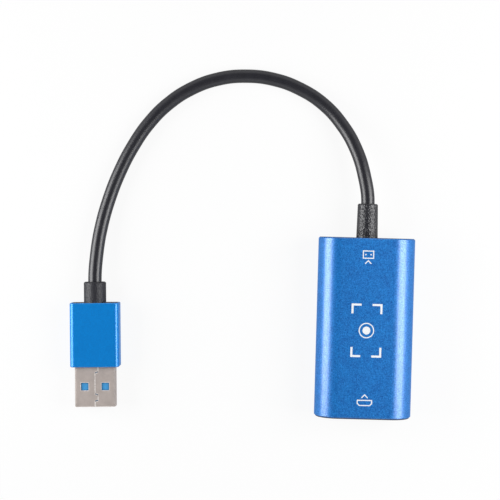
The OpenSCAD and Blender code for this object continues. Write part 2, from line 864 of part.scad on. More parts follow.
// Leads from the cable's cut end to their joints on the board
module cable_leads() {
    low = board_top + lead_r;
    color(copper)
        for (i = [0 : lead_count - 1])
            lead_wire(
                [lead_start(i).x, jacket_end, mid_z + lead_start(i).y],
                [joint_x(i), joint_y + lead_foot, low],
                [joint_x(i), joint_y, low]
            );
}

// Solder joints round the ends of those leads
module solder_joints() {
    color(tin)
        for (i = [0 : lead_count - 1])
            difference() {
                intersection() {
                    translate([joint_x(i), joint_y, board_top]) sphere(d = joint_d);
                    on_board([joint_x(i), joint_y], [joint_d, joint_d, joint_d]);
                }
                rod(
                    [joint_x(i), joint_y, board_top + lead_r],
                    [joint_x(i), joint_y + lead_foot, board_top + lead_r], lead_r
                );
            }
}

// Free stretch of the cable, square to the strain relief at each end
module cable() {
    color(sheath_black)
        swept_tube(route, [0, 1, 0], [sin(plug_turn), -cos(plug_turn), 0], cable_r);
}

// Moves the plug from its own frame to the end of the cable
module at_plug() {
    translate(plug_at) rotate([0, 0, plug_turn]) translate([0, -plug_end, 0]) children();
}

// Rear moulding of the plug with its strain relief
module plug_boot() {
    color(sheath_black)
        at_plug()
            difference() {
                union() {
                    along_y(core_l, sleeve_l)
                        polygon(rounded_box(
                            sleeve_in_w - 2 * slide_fit, sleeve_in_h - 2 * slide_fit, sleeve_in_r));
                    turned(rod_section(plug_boot_d / 2, sleeve_l, plug_end, 0, boot_edge));
                }
                turned(rod_section(cable_r + cable_fit, core_l - bite, plug_end + bite, 0, 0));
            }
}

// Metal sleeve of the plug
module plug_sleeve() {
    color(anodised_blue)
        at_plug()
            difference() {
                soft_bar(sleeve_w, sleeve_h, sleeve_r, 0, sleeve_l, sleeve_chamfer, sleeve_chamfer);
                along_y(-bite, sleeve_l + bite)
                    polygon(rounded_box(sleeve_in_w, sleeve_in_h, sleeve_in_r));
            }
}

// Front moulding of the plug, round the root of the metal shell, with a pocket for the leads
module plug_core() {
    color(moulding_black)
        at_plug()
            difference() {
                along_y(core_recess, core_l)
                    polygon(rounded_box(
                        sleeve_in_w - 2 * slide_fit, sleeve_in_h - 2 * slide_fit, sleeve_in_r));
                along_y(core_recess - bite, tip_root_l)
                    polygon(rounded_box(tip_w + 2 * moulding_fit, tip_h + 2 * moulding_fit, tip_bend_r));
                along_y(tip_root_l - bite, core_l + bite)
                    polygon(rounded_box(pocket_w, pocket_h, tip_bend_r));
            }
}

// Interlocked seam along the metal shell, as [x, y] points from the tip back
seam_route = [
    [0, -tip_l - bite],
    [0, seam_out - tip_l],
    [seam_step, seam_out + seam_slant - tip_l],
    [seam_step, seam_in - tip_l],
    [0, seam_in + seam_slant - tip_l],
    [0, seam_last - tip_l],
    [seam_step, seam_last + seam_slant - tip_l],
    [seam_step, tip_root_l + bite]
];

// Stamped shell of the plug, with its seam on top and two windows in each broad face
module plug_shell() {
    color(nickel)
        at_plug()
            difference() {
                along_y(-tip_l, tip_root_l)
                    difference() {
                        polygon(rounded_box(tip_w, tip_h, tip_bend_r));
                        polygon(rounded_box(tip_in_w, tip_in_h, tip_in_r));
                    }
                for (side = [-1, 1])
                    translate([side * hole_pitch / 2, hole_back + hole_w / 2 - tip_l, 0])
                        cube([hole_w, hole_w, 2 * tip_h], center = true);
                for (i = [0 : len(seam_route) - 2]) {
                    run = seam_route[i + 1] - seam_route[i];
                    cut_w = run.x == 0 ? seam_w : seam_gap;
                    translate([seam_route[i].x, seam_route[i].y, tip_h / 2 - 2 * tip_sheet])
                        rotate([0, 0, atan2(run.y, run.x)])
                            translate([-seam_w / 2, -cut_w / 2, 0])
                                cube([norm(run) + seam_w, cut_w, 4 * tip_sheet]);
                }
            }
}

// Hidden part of a flat contact: up into the insulator and back to its solder tail
module flat_run(x) {
    block(
        [x - flat_w / 2, flat_end - plug_contact_t, -plug_contact_t],
        [x + flat_w / 2, flat_end, flat_lift + plug_contact_t]
    );
    block(
        [x - flat_w / 2, flat_end - plug_contact_t, flat_lift],
        [x + flat_w / 2, tail_end, flat_lift + plug_contact_t]
    );
}

// Straight part of a raised contact, back to its solder tail
module spring_run(x) {
    block(
        [x - spring_w / 2, cavity_end - bite, -plug_contact_t],
        [x + spring_w / 2, tail_end, 0]
    );
}

// Sideways places of the raised contacts
function spring_places() =
    [for (i = [0 : spring_count - 1]) (i - (spring_count - 1) / 2) * spring_pitch];

// Insulating block of the plug: a shelf in the upper half and a plug behind the cavity
module plug_insulator() {
    half_w = tip_in_w / 2 - moulding_fit;
    top = tip_in_h / 2 - moulding_fit;
    color(insulator_blue)
        at_plug()
            difference() {
                union() {
                    block([-half_w + tip_in_r, insulator_back - tip_l, 0], [half_w - tip_in_r, 0, top]);
                    block([-half_w, insulator_back - tip_l, 0], [half_w, 0, top - tip_in_r]);
                    along_y(cavity_end, insulator_end)
                        polygon(rounded_box(2 * half_w, 2 * top, tip_in_r));
                }
                for (x = flat_places) flat_run(x);
                for (x = spring_places()) spring_run(x);
            }
}

// Four flat contacts on the underside of the insulator
module plug_contacts() {
    color(gold)
        at_plug()
            for (x = flat_places)
                union() {
                    block(
                        [x - flat_w / 2, flat_back - tip_l, -plug_contact_t],
                        [x + flat_w / 2, flat_end, 0]
                    );
                    flat_run(x);
                }
}

// Five raised contacts behind them, each a low arch on the insulator
module plug_springs() {
    crest = (spring_start + cavity_end) / 2;
    t = plug_contact_t;
    color(gold)
        at_plug()
            for (x = spring_places())
                union() {
                    translate([x, 0, 0])
                        across_x(spring_w)
                            polygon([
                                [spring_start, 0], [crest - t, -spring_rise], [crest + t, -spring_rise],
                                [cavity_end, -t], [cavity_end, 0], [crest + t, t - spring_rise],
                                [crest - t, t - spring_rise], [spring_start + 2 * t, 0]
                            ]);
                    spring_run(x);
                }
}

// Cable inside the plug's strain relief
module plug_tail() {
    color(sheath_black)
        at_plug() turned(rod_section(cable_r, core_l - plug_stub, plug_end, 0, 0));
}

// Place of the solder tail that lead i runs to, as [x, z] of the lead's axis
function tail_place(i) =
    i % 2 == 1
    ? [flat_places[floor(i / 2)], flat_lift + plug_contact_t + lead_r]
    : [spring_places()[i / 2], -plug_contact_t - lead_r];

// Leads from the cable's cut end to the contacts' solder tails
module plug_leads() {
    color(copper)
        at_plug()
            for (i = [0 : lead_count - 1])
                lead_wire(
                    [lead_start(i).x, core_l - plug_stub, lead_start(i).y],
                    [tail_place(i).x, tail_end, tail_place(i).y],
                    [tail_place(i).x, insulator_end + tail_l / 4, tail_place(i).y]
                );
}

housing_tube();
input_cap();
output_cap();
circuit_board();
socket_shell();
socket_insulator();
socket_contacts();
capture_chip();
flash_chip();
crystal();
regulator();
inductor();
capacitors();
resistors();
surge_arrays();
cable_boot();
cable_tail();
cable_leads();
solder_joints();
cable();
plug_boot();
plug_sleeve();
plug_core();
plug_shell();
plug_insulator();
plug_contacts();
plug_springs();
plug_tail();
plug_leads();
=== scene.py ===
"""Looks of a video capture box, its captive cable and its data plug.

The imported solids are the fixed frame. Everything here is in metres, in that frame: +Z is up,
the case lies along Y with its video socket facing -Y, and it rests on z = 0.
"""

import logging
import math
from collections.abc import Iterable, Sequence
from dataclasses import dataclass
from enum import Enum

import bmesh
import bpy
from mathutils import Matrix, Vector

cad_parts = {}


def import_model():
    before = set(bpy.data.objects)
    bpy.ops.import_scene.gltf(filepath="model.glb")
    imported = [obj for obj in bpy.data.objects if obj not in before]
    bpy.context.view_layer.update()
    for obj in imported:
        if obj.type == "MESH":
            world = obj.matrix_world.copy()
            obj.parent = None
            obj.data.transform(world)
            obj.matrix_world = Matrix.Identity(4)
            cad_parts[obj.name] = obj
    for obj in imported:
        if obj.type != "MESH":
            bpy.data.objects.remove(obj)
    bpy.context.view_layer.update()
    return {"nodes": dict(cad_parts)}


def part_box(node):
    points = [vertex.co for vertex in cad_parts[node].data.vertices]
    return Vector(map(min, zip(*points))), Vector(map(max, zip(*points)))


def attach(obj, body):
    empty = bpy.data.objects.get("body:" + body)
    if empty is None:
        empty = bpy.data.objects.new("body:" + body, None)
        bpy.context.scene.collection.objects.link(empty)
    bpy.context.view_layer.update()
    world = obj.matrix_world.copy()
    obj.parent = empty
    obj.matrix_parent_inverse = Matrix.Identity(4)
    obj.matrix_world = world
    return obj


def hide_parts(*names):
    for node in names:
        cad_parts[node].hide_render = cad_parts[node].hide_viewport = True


LOG = logging.getLogger("capture_box")
MM = 0.001
BODY = "root"

Colour = tuple[float, float, float]
Place = tuple[float, float, float]
Point = tuple[float, float]
Span = tuple[float, float]
Socket = bpy.types.NodeSocket
Tree = bpy.types.NodeTree
Piece = bpy.types.Object
Nodes = dict[str, Piece]
Setting = float | int | tuple[float, ...] | Socket

UNIT: Span = (0.0, 1.0)
WHITE: Colour = (1.0, 1.0, 1.0)
DUST: Colour = (0.3, 0.3, 0.3)
SHADE_SAMPLES = 8


def rgba(colour: Colour, share: float = 1.0) -> tuple[float, float, float, float]:
    """Gives a linear colour full cover.

    Args:
        colour: The colour.
        share: Factor that darkens or lightens it.

    Returns:
        Its red, green, blue and alpha.
    """
    return (*(share * part for part in colour), 1.0)


class NodeBench:
    """Places and joins the nodes of one shader tree."""

    def __init__(self, tree: Tree) -> None:
        """Keeps the tree to work on.

        Args:
            tree: Node tree of a material, a world or a group.
        """
        self.tree = tree

    def place(
        self, kind: str, inputs: dict[str | int, Setting] | None = None, **settings: object
    ) -> bpy.types.Node:
        """Places one node.

        Args:
            kind: Blender's name of the node type.
            inputs: Values for its input sockets, or the output sockets to join to them.
            **settings: Values for the node's own properties.

        Returns:
            The new node.
        """
        node = self.tree.nodes.new(kind)
        for name, value in settings.items():
            setattr(node, name, value)
        for key, value in (inputs or {}).items():
            if isinstance(value, Socket):
                self.tree.links.new(value, node.inputs[key])
            else:
                node.inputs[key].default_value = value
        return node

    def math(self, operation: str, *values: Setting, vector: bool = False) -> Socket:
        """Works out one sum.

        Args:
            operation: Blender's name of the operation.
            *values: Its operands, in order.
            vector: Whether it works on vectors.

        Returns:
            The output socket with the result.
        """
        kind = "ShaderNodeVectorMath" if vector else "ShaderNodeMath"
        return self.place(kind, dict(enumerate(values)), operation=operation).outputs[0]

    def spread(self, value: Setting, span: Span = UNIT, to: tuple[Setting, Setting] = UNIT) -> Socket:
        """Maps a value from one range to another and holds it there.

        Args:
            value: The value to map.
            span: Start and end of its range.
            to: Results at the start and at the end.

        Returns:
            The output socket with the mapped value.
        """
        inputs = dict(enumerate((value, *span, *to)))
        return self.place("ShaderNodeMapRange", inputs).outputs[0]

    def blend(self, mask: Setting, under: Setting, over: Setting, share: float = 1.0) -> Socket:
        """Blends two colours.

        Args:
            mask: Where the upper colour shows.
            under: Colour where the mask is 0.
            over: Colour that is laid over it.
            share: Cover of the upper colour where the mask is 1.

        Returns:
            The output socket with the blended colour.
        """
        cover = mask if share == 1.0 else self.math("MULTIPLY", mask, share)
        node = self.place("ShaderNodeMix", {0: cover, 6: under, 7: over}, data_type="RGBA")
        return node.outputs[2]

    def noise(
        self, vector: Setting, scale: Setting, detail: float = 2.0, roughness: float = 0.6
    ) -> Socket:
        """Places a solid noise.

        Args:
            vector: Coordinates to read it at.
            scale: Features to the metre.
            detail: Finer layers of noise.
            roughness: Strength of the finer layers.

        Returns:
            The output socket with a value from 0 to 1.
        """
        inputs = {"Vector": vector, "Scale": scale, "Detail": detail, "Roughness": roughness}
        return self.place("ShaderNodeTexNoise", inputs).outputs[0]


class Effect(Enum):
    """Surface effects that several finishes share, each one node group.

    An effect's value names its node group and the method of EffectShelf that builds it.
    """

    GRAIN = "fine_grain"
    EDGES = "edge_wear_and_highlight"
    HANDLING = "handling_marks"
    LINES = "drawn_lines"
    STIPPLE = "stipple"
    LEGS = "package_legs"
    FOLDS = "folded_sheet"
    CREVICES = "crevice_shade"


class EffectShelf:
    """Builds each shared effect once and hands it out."""

    def __init__(self) -> None:
        """Starts with an empty shelf."""
        self.groups: dict[Effect, Tree] = {}

    def get(self, effect: Effect) -> Tree:
        """Finds an effect's node group, and builds it on first use.

        Args:
            effect: The effect.

        Returns:
            Its node group.
        """
        if effect not in self.groups:
            self.groups[effect] = getattr(self, effect.value)()
        return self.groups[effect]

    def open_group(
        self, effect: Effect, inputs: dict[str, float | None], outputs: Iterable[str]
    ) -> tuple[NodeBench, bpy.types.NodeOutputs]:
        """Starts a node group with named sockets.

        Args:
            effect: The effect that the group holds.
            inputs: Default of each input beside the coordinates, or None for a vector.
            outputs: Names of the value outputs.

        Returns:
            The bench for its tree, and the sockets that hand in its inputs.
        """
        tree = bpy.data.node_groups.new(effect.value, "ShaderNodeTree")
        for name, default in {"Vector": None, **inputs}.items():
            kind = "NodeSocketVector" if default is None else "NodeSocketFloat"
            socket = tree.interface.new_socket(name, in_out="INPUT", socket_type=kind)
            if default is not None:
                socket.default_value = default
        for name in outputs:
            tree.interface.new_socket(name, in_out="OUTPUT", socket_type="NodeSocketFloat")
        bench = NodeBench(tree)
        return bench, bench.place("NodeGroupInput").outputs

    def fine_grain(self) -> Tree:
        """Builds a fine grain with wider patches in it.

        Returns:
            The node group.
        """
        bench, given = self.open_group(Effect.GRAIN, {"Scale": 2500.0}, ("Grain", "Patches"))
        place, scale = given["Vector"], given["Scale"]
        fine = bench.noise(place, scale, detail=3.0, roughness=0.7)
        patch_scale = bench.math("MULTIPLY", scale, 0.16)
        grain = bench.spread(fine, (0.32, 0.68))
        patches = bench.spread(bench.noise(place, patch_scale), (0.3, 0.7))
        bench.place("NodeGroupOutput", {"Grain": grain, "Patches": patches})
        return bench.tree

    def edge_wear_and_highlight(self) -> Tree:
        """Builds a broken mask along sharp outer edges, where the solid behind a face is thin; the
        finishes lighten these edges, partly as wear and partly as painted highlight.

        Returns:
            The node group.
        """
        bench, given = self.open_group(Effect.EDGES, {"Radius": 0.1 * MM}, ("Edge",))
        behind = bench.place(
            "ShaderNodeAmbientOcclusion",
            {"Distance": given["Radius"]},
            samples=SHADE_SAMPLES,
            inside=True,
            only_local=True,
        )
        edge = bench.spread(behind.outputs["AO"], (0.6, 0.97), (1.0, 0.0))
        uneven = bench.noise(given["Vector"], scale=1400.0, detail=3.0)
        breaks = bench.spread(uneven, (0.35, 0.6), (0.35, 1.0))
        bench.place("NodeGroupOutput", {"Edge": bench.math("MULTIPLY", edge, breaks)})
        return bench.tree

    def handling_marks(self) -> Tree:
        """Builds soft smudges and sparse dust on what faces up.

        Returns:
            The node group.
        """
        bench, given = self.open_group(Effect.HANDLING, {"Dust Scale": 900.0}, ("Smudge", "Dust"))
        place = given["Vector"]
        smudge = bench.spread(bench.noise(place, scale=110.0, detail=3.0), (0.45, 0.75))
        specks = bench.place("ShaderNodeTexVoronoi", {"Vector": place, "Scale": given["Dust Scale"]})
        near = bench.spread(specks.outputs["Distance"], (0.04, 0.1), (1.0, 0.0))
        sparse = bench.spread(bench.noise(place, scale=260.0), (0.56, 0.62))
        surface = bench.place("ShaderNodeNewGeometry")
        height = bench.place("ShaderNodeSeparateXYZ", {0: surface.outputs["Normal"]})
        upward = bench.spread(height.outputs["Z"], (0.3, 0.8))
        dust = bench.math("MULTIPLY", bench.math("MULTIPLY", near, sparse), upward)
        bench.place("NodeGroupOutput", {"Smudge": smudge, "Dust": dust})
        return bench.tree

    def drawn_lines(self) -> Tree:
        """Builds the fine lines that rolling and stamping leave in sheet metal.

        Returns:
            The node group.
        """
        bench, given = self.open_group(
            Effect.LINES, {"Across": 9000.0, "Along": 350.0}, ("Lines", "Bands")
        )
        across, along = given["Across"], given["Along"]
        scale = bench.place("ShaderNodeCombineXYZ", {0: across, 1: along, 2: across})
        stretched = bench.math("MULTIPLY", given["Vector"], scale.outputs[0], vector=True)
        lines = bench.spread(bench.noise(stretched, scale=1.0, detail=3.0), (0.3, 0.7))
        bands = bench.spread(bench.noise(stretched, scale=0.12), (0.35, 0.65))
        bench.place("NodeGroupOutput", {"Lines": lines, "Bands": bands})
        return bench.tree

    def stipple(self) -> Tree:
        """Builds the rounded bumps of a stippled mould.

        Returns:
            The node group.
        """
        bench, given = self.open_group(Effect.STIPPLE, {"Scale": 2600.0}, ("Bumps", "Hollows"))
        cells = bench.place(
            "ShaderNodeTexVoronoi",
            {"Vector": given["Vector"], "Scale": given["Scale"], "Smoothness": 0.5},
            feature="SMOOTH_F1",
        )
        bumps = bench.spread(cells.outputs["Distance"], (0.1, 0.65), (1.0, 0.0))
        hollows = bench.spread(cells.outputs["Distance"], (0.4, 0.75))
        bench.place("NodeGroupOutput", {"Bumps": bumps, "Hollows": hollows})
        return bench.tree

    def package_legs(self) -> Tree:
        """Builds a mask of what stands outside a component's moulded body.

        Returns:
            The node group.
        """
        bench, given = self.open_group(Effect.LEGS, {"Middle": None, "Half": None}, ("Legs",))
        offset = bench.math("SUBTRACT", given["Vector"], given["Middle"], vector=True)
        away = bench.math("ABSOLUTE", offset, vector=True)
        past = bench.math("SUBTRACT", away, given["Half"], vector=True)
        sides = bench.place("ShaderNodeSeparateXYZ", {0: past}).outputs
        most = bench.math("MAXIMUM", sides["X"], sides["Y"])
        bench.place("NodeGroupOutput", {"Legs": bench.spread(most, (0.0, 0.02 * MM))})
        return bench.tree

    def folded_sheet(self) -> Tree:
        """Builds a broken mask of the bends of folded sheet, where the sheet finish paints shade and
        lowers the metal share.

        Returns:
            The node group.
        """
        bench, given = self.open_group(Effect.FOLDS, {}, ("Fold",))
        surface = bench.place("ShaderNodeNewGeometry")
        upright = bench.math("ABSOLUTE", surface.outputs["Normal"], vector=True)
        sides = bench.place("ShaderNodeSeparateXYZ", {0: upright}).outputs
        level = bench.math("MAXIMUM", sides["X"], sides["Y"])
        squarest = bench.math("MAXIMUM", level, sides["Z"])
        bend = bench.spread(squarest, (0.97, 0.998), (1.0, 0.0))
        uneven = bench.noise(given["Vector"], scale=2600.0, detail=3.0)
        breaks = bench.spread(uneven, (0.3, 0.6), (0.8, 1.0))
        bench.place("NodeGroupOutput", {"Fold": bench.math("MULTIPLY", bend, breaks)})
        return bench.tree

    def crevice_shade(self) -> Tree:
        """Builds a soft mask of corners that little light reaches.

        Returns:
            The node group.
        """
        bench, given = self.open_group(Effect.CREVICES, {"Reach": 0.5 * MM}, ("Shade",))
        open_sky = bench.place(
            "ShaderNodeAmbientOcclusion", {"Distance": given["Reach"]}, samples=SHADE_SAMPLES
        )
        shade = bench.spread(open_sky.outputs["AO"], (0.35, 0.95), (1.0, 0.0))
        uneven = bench.noise(given["Vector"], scale=1800.0)
        breaks = bench.spread(uneven, (0.3, 0.6), (0.75, 1.0))
        bench.place("NodeGroupOutput", {"Shade": bench.math("MULTIPLY", shade, breaks)})
        return bench.tree


SHELF = EffectShelf()


class FinishBench(NodeBench):
    """Bench for one material, with its shader and coordinates in place."""

    def __init__(self, name: str) -> None:
        """Makes the material.

        Args:
            name: The material's name.
        """
        self.material = bpy.data.materials.new(name)
        self.material.use_nodes = True
        super().__init__(self.material.node_tree)
        self.tree.nodes.clear()
        self.shader = self.place("ShaderNodeBsdfPrincipled")
        self.place("ShaderNodeOutputMaterial", {"Surface": self.shader.outputs[0]})
        self.where = self.place("ShaderNodeTexCoord").outputs["Object"]

    def effect(self, effect: Effect, **inputs: Setting) -> dict[str, Socket]:
        """Places a shared effect.

        Args:
            effect: The effect.
            **inputs: Values for its inputs.

        Returns:
            Its output sockets by name.
        """
        inputs["Vector"] = self.where
        node = self.place("ShaderNodeGroup", inputs, node_tree=SHELF.get(effect))
        return {socket.name: socket for socket in node.outputs}

    def set(self, **inputs: Setting) -> None:
        """Sets or joins the shader's own sockets.

        Args:
            **inputs: Values or output sockets, with underscores for spaces.
        """
        for name, value in inputs.items():
            socket = self.shader.inputs[name.replace("_", " ")]
            if isinstance(value, Socket):
                self.tree.links.new(value, socket)
            else:
                socket.default_value = value

    def emboss(self, height: Socket, depth: float) -> None:
        """Turns a height into the shader's normal.

        Args:
            height: Output socket with the height, from 0 to 1.
            depth: Depth of the relief in metres.
        """
        bump = self.place("ShaderNodeBump", {"Height": height, "Distance": depth, "Strength": 1.0})
        self.set(Normal=bump.outputs[0])


@dataclass(frozen=True)
class Finish:
    """A finish, which makes its material once."""

    name: str

    def material(self) -> bpy.types.Material:
        """Finds the finish's material, and makes it on first use.

        Returns:
            The material.
        """
        made = bpy.data.materials.get(self.name)
        if made is None:
            bench = FinishBench(self.name)
            self.mix(bench)
            made = bench.material
        return made

    def mix(self, bench: FinishBench) -> None:
        """Wires the finish's nodes.

        Args:
            bench: Bench of the new material.
        """
        raise NotImplementedError


@dataclass(frozen=True)
class AnodisedMetal(Finish):
    """Blasted aluminium under a dyed oxide layer."""

    dye: Colour
    shade: Colour
    bare_and_highlight: Colour
    metal_share: float
    gloss: Span
    skin: Span
    skin_gloss: float
    grain_scale: float
    depth: float
    base_ior: float = 1.2
    skin_ior: float = 4.0
    rim: float = 0.12 * MM
    edge_share: float = 0.45
    grain_share: float = 0.85
    patch_share: float = 0.15
    smudge: float = 0.05

    def mix(self, bench: FinishBench) -> None:
        """Wires the dye's grain, the blasted relief, the lighter edges and the clear skin; the
        lighter edges are partly worn bare metal and partly painted highlight.

        Args:
            bench: Bench of the new material.
        """
        grain = bench.effect(Effect.GRAIN, Scale=self.grain_scale)
        marks = bench.effect(Effect.HANDLING)
        edge = bench.effect(Effect.EDGES, Radius=self.rim)
        fine = bench.math("MULTIPLY", grain["Grain"], self.grain_share)
        depth_mask = bench.math("MULTIPLY_ADD", grain["Patches"], self.patch_share, fine)
        dyed = bench.blend(depth_mask, rgba(self.shade), rgba(self.dye))
        # Sharp edges lighten towards pale metal: partly wear, partly painted highlight.
        worn_and_highlit = bench.blend(edge["Edge"], dyed, rgba(self.bare_and_highlight), self.edge_share)
        rough = bench.spread(grain["Grain"], to=self.gloss)
        smudged = bench.math("MULTIPLY_ADD", marks["Smudge"], self.smudge, rough)
        bench.set(Base_Color=worn_and_highlit, Roughness=smudged, Metallic=self.metal_share, IOR=self.base_ior)
        bench.set(Coat_Weight=bench.spread(grain["Grain"], to=self.skin))
        bench.set(Coat_Roughness=self.skin_gloss, Coat_IOR=self.skin_ior)
        bench.emboss(grain["Grain"], self.depth)


@dataclass(frozen=True)
class MouldedPlastic(Finish):
    """Moulded plastic or rubber with a stippled skin."""

    colour: Colour
    rubbed_and_highlight: Colour
    gloss: Span
    stipple_scale: float
    depth: float
    # Share of painted shade in corners that little light reaches.
    corner: float = 0.0
    corner_shade_tone: float = 0.12
    ior: float = 1.5
    rim: float = 0.1 * MM
    bump_share: float = 0.5
    edge_share: float = 0.6
    dust_share: float = 0.25
    smudge: float = 0.06

    def mix(self, bench: FinishBench) -> None:
        """Wires the stipple, the lighter bump tops and edges, the dust and the painted shade in
        corners; the lighter tops and edges are partly rubbed wear and partly painted highlight.

        Args:
            bench: Bench of the new material.
        """
        stipple = bench.effect(Effect.STIPPLE, Scale=self.stipple_scale)
        marks = bench.effect(Effect.HANDLING)
        edge = bench.effect(Effect.EDGES, Radius=self.rim)
        # Bump tops and sharp edges take the lighter colour: partly rubbed wear, partly painted
        # highlight.
        skin = bench.blend(stipple["Bumps"], rgba(self.colour), rgba(self.rubbed_and_highlight), self.bump_share)
        rubbed_and_highlight = bench.blend(edge["Edge"], skin, rgba(self.rubbed_and_highlight), self.edge_share)
        dusty = bench.blend(marks["Dust"], rubbed_and_highlight, rgba(DUST), self.dust_share)
        # Painted shade: corners that little light reaches are darkened towards a dark copy of the
        # colour.
        if self.corner:
            shade = bench.effect(Effect.CREVICES)["Shade"]
            dusty = bench.blend(shade, dusty, rgba(self.colour, self.corner_shade_tone), self.corner)
        rough = bench.spread(stipple["Hollows"], to=self.gloss)
        smudged = bench.math("MULTIPLY_ADD", marks["Smudge"], self.smudge, rough)
        bench.set(Base_Color=dusty, Roughness=smudged, IOR=self.ior)
        bench.emboss(stipple["Bumps"], self.depth)


@dataclass(frozen=True)
class CableJacket(Finish):
    """Satin extruded jacket."""

    colour: Colour
    bloom: Colour
    gloss: Span
    depth: float
    ior: float
    grain_scale: float = 3200.0
    bloom_share: float = 0.6
    dust_share: float = 0.2
    smudge: float = 0.05

    def mix(self, bench: FinishBench) -> None:
        """Wires the fine extruded grain and the bloom on the jacket.

        Args:
            bench: Bench of the new material.
        """
        grain = bench.effect(Effect.GRAIN, Scale=self.grain_scale)
        marks = bench.effect(Effect.HANDLING)
        skin = bench.blend(grain["Patches"], rgba(self.colour), rgba(self.bloom), self.bloom_share)
        dusty = bench.blend(marks["Dust"], skin, rgba(DUST), self.dust_share)
        rough = bench.spread(grain["Grain"], to=self.gloss)
        smudged = bench.math("MULTIPLY_ADD", marks["Smudge"], self.smudge, rough)
        bench.set(Base_Color=dusty, Roughness=smudged, IOR=self.ior)
        bench.emboss(grain["Grain"], self.depth)


@dataclass(frozen=True)
class PlatedSheet(Finish):
    """Stamped sheet or wire with a thin plated skin."""

    colour: Colour
    dull: Colour
    bright_edge_highlight: Colour
    gloss: Span
    depth: float
    along: float = 350.0
    across: float = 9000.0
    rim: float = 0.08 * MM
    metal_share: float = 1.0
    fold_share: float = 1.0
    fold_shade: float = 0.0
    fold_shade_tone: float = 0.5
    wear_and_highlight_share: float = 0.85
    ior: float = 1.35
    grain_scale: float = 2600.0
    band_share: float = 0.5
    patch_share: float = 0.4
    cloud: float = 0.06

    def mix(self, bench: FinishBench) -> None:
        """Wires the drawn lines, the dull bands, the painted shade on the folds and the lighter
        edges, which are partly wear and partly painted highlight.

        Args:
            bench: Bench of the new material.
        """
        lines = bench.effect(Effect.LINES, Across=self.across, Along=self.along)
        grain = bench.effect(Effect.GRAIN, Scale=self.grain_scale)
        edge = bench.effect(Effect.EDGES, Radius=self.rim)
        fold = bench.effect(Effect.FOLDS)["Fold"]
        patchy = bench.math("MULTIPLY", grain["Patches"], self.patch_share)
        tarnish = bench.math("MULTIPLY_ADD", lines["Bands"], self.band_share, patchy)
        skin = bench.blend(tarnish, rgba(self.colour), rgba(self.dull))
        # Painted shade: the bends are darkened to dull the lamps' highlights on them.
        bends_shaded = bench.blend(fold, skin, rgba(self.colour, self.fold_shade_tone), self.fold_shade)
        # Sharp edges take a lighter colour: partly wear, partly painted highlight along the seam and
        # rims.
        worn_and_highlit = bench.blend(edge["Edge"], bends_shaded, rgba(self.bright_edge_highlight), self.wear_and_highlight_share)
        rough = bench.spread(lines["Lines"], to=self.gloss)
        clouded = bench.math("MULTIPLY_ADD", grain["Patches"], self.cloud, rough)
        scuffed = bench.math("MAXIMUM", fold, edge["Edge"])
        metal = bench.spread(scuffed, to=(self.metal_share, self.fold_share))
        bench.set(Base_Color=worn_and_highlit, Roughness=clouded, Metallic=metal, IOR=self.ior)
        bench.emboss(lines["Lines"], self.depth)


@dataclass(frozen=True)
class SolderMask(Finish):
    """Circuit board with tracks showing through its solder mask."""

    mask: Colour
    track: Colour
    track_pitch: float
    track_edge: Span = (0.42, 0.5)
    track_share: float = 0.6
    route_scale: float = 160.0
    route_edge: Span = (0.45, 0.5)
    gloss: Span = (0.28, 0.42)
    ior: float = 1.55
    grain_scale: float = 3000.0
    depth: float = 0.03 * MM

    def mix(self, bench: FinishBench) -> None:
        """Wires the tracks and the mask over them.

        Args:
            bench: Bench of the new material.
        """
        grain = bench.effect(Effect.GRAIN, Scale=self.grain_scale)
        place = bench.place("ShaderNodeSeparateXYZ", {0: bench.where})
        lane = bench.math("PINGPONG", place.outputs["X"], self.track_pitch)
        start, full = (share * self.track_pitch for share in self.track_edge)
        run = bench.spread(lane, (start, full))
        cell = bench.place("ShaderNodeTexVoronoi", {"Vector": bench.where, "Scale": self.route_scale})
        routed = bench.spread(cell.outputs["Distance"], self.route_edge)
        tracks = bench.math("MULTIPLY", run, routed)
        tone = bench.blend(tracks, rgba(self.mask), rgba(self.track), self.track_share)
        rough = bench.spread(grain["Patches"], to=self.gloss)
        bench.set(Base_Color=tone, Roughness=rough, IOR=self.ior)
        bench.emboss(tracks, self.depth)


@dataclass(frozen=True)
class ChipPackage(Finish):
    """Moulded component body with tinned legs outside it."""

    body: Colour
    tin: Colour
    middle: Place
    half: Place
    grain_tone: float = 2.2
    gloss: Span = (0.42, 0.6)
    grain_scale: float = 5200.0
    depth: float = 0.008 * MM

    def mix(self, bench: FinishBench) -> None:
        """Wires the body's grain and the legs' tin.

        Args:
            bench: Bench of the new material.
        """
        legs = bench.effect(Effect.LEGS, Middle=self.middle, Half=self.half)["Legs"]
        grain = bench.effect(Effect.GRAIN, Scale=self.grain_scale)["Grain"]
        resin = bench.blend(grain, rgba(self.body), rgba(self.body, self.grain_tone))
        tone = bench.blend(legs, resin, rgba(self.tin))
        bench.set(Base_Color=tone, Roughness=bench.spread(grain, to=self.gloss), Metallic=legs)
        bench.emboss(grain, self.depth)


@dataclass(frozen=True)
class CappedCeramic(Finish):
    """Small ceramic components with a tinned cap at each end, in rows along X."""

    body: Colour
    tin: Colour
    pitch: float
    bare_half: float
    cap_edge: float = 0.01 * MM
    patch_tone: float = 0.8
    gloss: Span = (0.35, 0.55)
    grain_scale: float = 5600.0
    depth: float = 0.006 * MM

    def mix(self, bench: FinishBench) -> None:
        """Wires the ceramic and its repeated end caps.

        Args:
            bench: Bench of the new material.
        """
        grain = bench.effect(Effect.GRAIN, Scale=self.grain_scale)
        place = bench.place("ShaderNodeSeparateXYZ", {0: bench.where})
        away = bench.math("PINGPONG", place.outputs["X"], self.pitch / 2)
        caps = bench.spread(away, (self.bare_half, self.bare_half + self.cap_edge))
        fired = bench.blend(grain["Patches"], rgba(self.body), rgba(self.body, self.patch_tone))
        tone = bench.blend(caps, fired, rgba(self.tin))
        rough = bench.spread(grain["Grain"], to=self.gloss)
        bench.set(Base_Color=tone, Roughness=rough, Metallic=caps)
        bench.emboss(grain["Grain"], self.depth)


